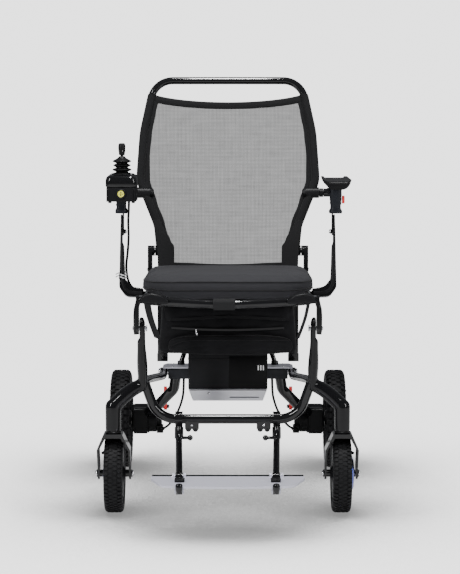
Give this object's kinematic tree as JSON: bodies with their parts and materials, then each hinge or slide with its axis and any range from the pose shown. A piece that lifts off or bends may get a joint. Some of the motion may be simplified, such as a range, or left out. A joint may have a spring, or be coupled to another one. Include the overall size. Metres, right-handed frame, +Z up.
{
  "type": "power wheelchair",
  "caption": "Folding power wheelchair with a forked carbon front frame, leaning mesh backrest, joystick armrest, fold-up footplate and hub-mounted rear drive.",
  "frame": {"origin": "on the ground at the centre of the chair's bounding box", "axes": "+Z up, -Y towards the front of the chair, +X towards the seated user's left"},
  "size_m": [0.6008, 0.9099, 0.9961],
  "materials": {
    "carbon": "gloss black lacquered carbon",
    "frame_tube": "gloss black powder coat",
    "black_plastic": "fine grained black moulding",
    "grip_plastic": "dark blue-grey satin moulding",
    "casing_grey": "satin grey moulding",
    "casing_lid": "satin light grey",
    "board": "solder mask",
    "tyre": "black treaded rubber",
    "rim": "satin black cast rim",
    "blue_rim": "blue anodised",
    "steel": "zinc plated",
    "tray_silver": "brushed silver",
    "battery_case": "satin black moulding",
    "motor": "black coated casting",
    "red_plastic": "red moulding",
    "cushion_fabric": "charcoal woven cover",
    "bag_fabric": "black coated nylon",
    "mesh_fabric": "grey open weave mesh",
    "footplate_silver": "satin anodised",
    "rubber": "black rubber",
    "cable": "black cable sheath",
    "port_yellow": "yellow socket cover"
  },
  "bodies": {
    "front_frame": {"front_leg_left": "carbon", "front_leg_right": "carbon", "side_arm_left": "frame_tube", "side_arm_right": "frame_tube", "front_crossbar": "frame_tube", "caster_bearings": "steel", "controller_housing": "casing_grey", "controller_cover": "casing_lid", "controller_board": "board", "pivot_shaft": "steel", "battery_tray": "tray_silver", "hinge_bolts": "steel"},
    "caster_left": {"caster_fork_left": "frame_tube"},
    "caster_right": {"caster_fork_right": "frame_tube"},
    "caster_wheel_left": {"caster_tyre_left": "tyre", "caster_rim_left": "blue_rim"},
    "caster_wheel_right": {"caster_tyre_right": "tyre", "caster_rim_right": "blue_rim"},
    "rear_frame": {"rear_tube_left": "frame_tube", "rear_tube_right": "frame_tube", "drive_motor_left": "motor", "drive_motor_right": "motor", "motor_leads": "cable"},
    "drive_wheel_left": {"drive_tyre_left": "tyre", "drive_rim_left": "rim"},
    "drive_wheel_right": {"drive_tyre_right": "tyre", "drive_rim_right": "rim"},
    "lever_left": {"freewheel_lever_left": "red_plastic"},
    "lever_right": {"freewheel_lever_right": "red_plastic"},
    "battery": {"battery_pack": "battery_case"},
    "seat": {"seat_frame": "frame_tube", "seat_cushion": "cushion_fabric", "back_bracket_left": "frame_tube", "back_bracket_right": "frame_tube", "seat_prop": "frame_tube", "storage_bag": "bag_fabric"},
    "backrest": {"back_frame": "frame_tube", "back_clamps": "black_plastic", "back_mesh": "mesh_fabric"},
    "blade_left": {"arm_blade_left": "carbon"},
    "blade_right": {"arm_blade_right": "carbon", "joystick_lead": "cable"},
    "knuckle_left": {"arm_knuckle_left": "black_plastic"},
    "arm_left": {"arm_bar_left": "frame_tube", "arm_grip": "grip_plastic", "armrest_pad_left": "rubber"},
    "release_button": {"arm_release_button": "red_plastic"},
    "arm_right": {"arm_bar_right": "frame_tube", "joystick_mount": "grip_plastic", "armrest_pad_right": "rubber", "joystick_base": "black_plastic", "joystick_cover": "grip_plastic", "charge_port": "port_yellow", "joystick_boot": "rubber"},
    "gimbal": {"joystick_gimbal": "steel"},
    "stick": {"joystick_stick": "black_plastic"},
    "legrest": {"footrest_leg_left": "frame_tube", "footrest_leg_right": "frame_tube"},
    "footplate": {"footplate": "footplate_silver"},
    "rollers": {"footplate_rollers": "rubber"}
  },
  "joints": [
    {"name": "caster_swivel_left", "type": "hinge", "parent": "front_frame", "child": "caster_left", "pos_m": [0.26, -0.23, 0.19], "axis": [0, 0, 1], "continuous": true},
    {"name": "caster_spin_left", "type": "hinge", "parent": "caster_left", "child": "caster_wheel_left", "pos_m": [0.26, -0.19, 0.09], "axis": [1, 0, 0], "continuous": true},
    {"name": "caster_swivel_right", "type": "hinge", "parent": "front_frame", "child": "caster_right", "pos_m": [-0.26, -0.23, 0.19], "axis": [0, 0, 1], "continuous": true},
    {"name": "caster_spin_right", "type": "hinge", "parent": "caster_right", "child": "caster_wheel_right", "pos_m": [-0.26, -0.19, 0.09], "axis": [1, 0, 0], "continuous": true},
    {"name": "frame_fold", "type": "hinge", "parent": "front_frame", "child": "rear_frame", "pos_m": [0, 0.125, 0.278], "axis": [-1, 0, 0], "range_deg": [0, 60]},
    {"name": "drive_spin_left", "type": "hinge", "parent": "rear_frame", "child": "drive_wheel_left", "pos_m": [0.273, 0.33, 0.125], "axis": [1, 0, 0], "continuous": true},
    {"name": "freewheel_lever_left", "type": "hinge", "parent": "rear_frame", "child": "lever_left", "pos_m": [0.16, 0.318, 0.158], "axis": [-1, 0, 0], "range_deg": [0, 55]},
    {"name": "drive_spin_right", "type": "hinge", "parent": "rear_frame", "child": "drive_wheel_right", "pos_m": [-0.273, 0.33, 0.125], "axis": [1, 0, 0], "continuous": true},
    {"name": "freewheel_lever_right", "type": "hinge", "parent": "rear_frame", "child": "lever_right", "pos_m": [-0.16, 0.318, 0.158], "axis": [-1, 0, 0], "range_deg": [0, 55]},
    {"name": "battery_slide", "type": "slide", "parent": "front_frame", "child": "battery", "axis": [0, -1, 0], "range_m": [0, 0.25]},
    {"name": "seat_lift", "type": "hinge", "parent": "front_frame", "child": "seat", "pos_m": [0, -0.23, 0.431], "axis": [1, 0, 0], "range_deg": [0, 70]},
    {"name": "backrest_fold", "type": "hinge", "parent": "seat", "child": "backrest", "pos_m": [0, 0.24, 0.565], "axis": [1, 0, 0], "range_deg": [0, 97]},
    {"name": "blade_swing_left", "type": "hinge", "parent": "seat", "child": "blade_left", "pos_m": [0, -0.07, 0.492], "axis": [1, 0, 0], "range_deg": [0, 97]},
    {"name": "blade_swing_right", "type": "hinge", "parent": "seat", "child": "blade_right", "pos_m": [0, -0.07, 0.492], "axis": [1, 0, 0], "range_deg": [0, 97]},
    {"name": "arm_level_right", "type": "hinge", "parent": "blade_right", "child": "arm_right", "pos_m": [0, -0.037, 0.635], "axis": [1, 0, 0], "range_deg": [-97, 0], "deforming": ["joystick_lead"]},
    {"name": "knuckle_level_left", "type": "hinge", "parent": "blade_left", "child": "knuckle_left", "pos_m": [0, -0.037, 0.635], "axis": [1, 0, 0], "range_deg": [-97, 0]},
    {"name": "arm_flip", "type": "hinge", "parent": "knuckle_left", "child": "arm_left", "pos_m": [0, 0.273, 0.708], "axis": [-1, 0, 0], "range_deg": [0, 90]},
    {"name": "release_press", "type": "slide", "parent": "arm_left", "child": "release_button", "axis": [-1, 0, 0], "range_m": [0, 0.0025], "stiffness_N_per_m": 600},
    {"name": "joystick_pitch", "type": "hinge", "parent": "arm_right", "child": "gimbal", "pos_m": [-0.245, -0.085, 0.756], "axis": [1, 0, 0], "range_deg": [-18, 18], "stiffness_Nm_per_rad": 0.6},
    {"name": "joystick_roll", "type": "hinge", "parent": "gimbal", "child": "stick", "pos_m": [-0.245, -0.085, 0.756], "axis": [0, 1, 0], "range_deg": [-18, 18], "stiffness_Nm_per_rad": 0.6, "deforming": ["joystick_boot"]},
    {"name": "footrest_fold", "type": "hinge", "parent": "front_frame", "child": "legrest", "pos_m": [0, -0.2, 0.218], "axis": [1, 0, 0], "range_deg": [0, 50]},
    {"name": "footplate_flip", "type": "hinge", "parent": "legrest", "child": "footplate", "pos_m": [0, -0.345, 0.1145], "axis": [-1, 0, 0], "range_deg": [0, 90]},
    {"name": "roller_spin", "type": "hinge", "parent": "footplate", "child": "rollers", "pos_m": [0, -0.428, 0.101], "axis": [1, 0, 0], "continuous": true}
  ],
  "couplings": [
    {"joint": "blade_swing_left", "follows": "backrest_fold", "ratio": 1},
    {"joint": "blade_swing_right", "follows": "backrest_fold", "ratio": 1},
    {"joint": "arm_level_right", "follows": "backrest_fold", "ratio": -1},
    {"joint": "knuckle_level_left", "follows": "backrest_fold", "ratio": -1}
  ]
}
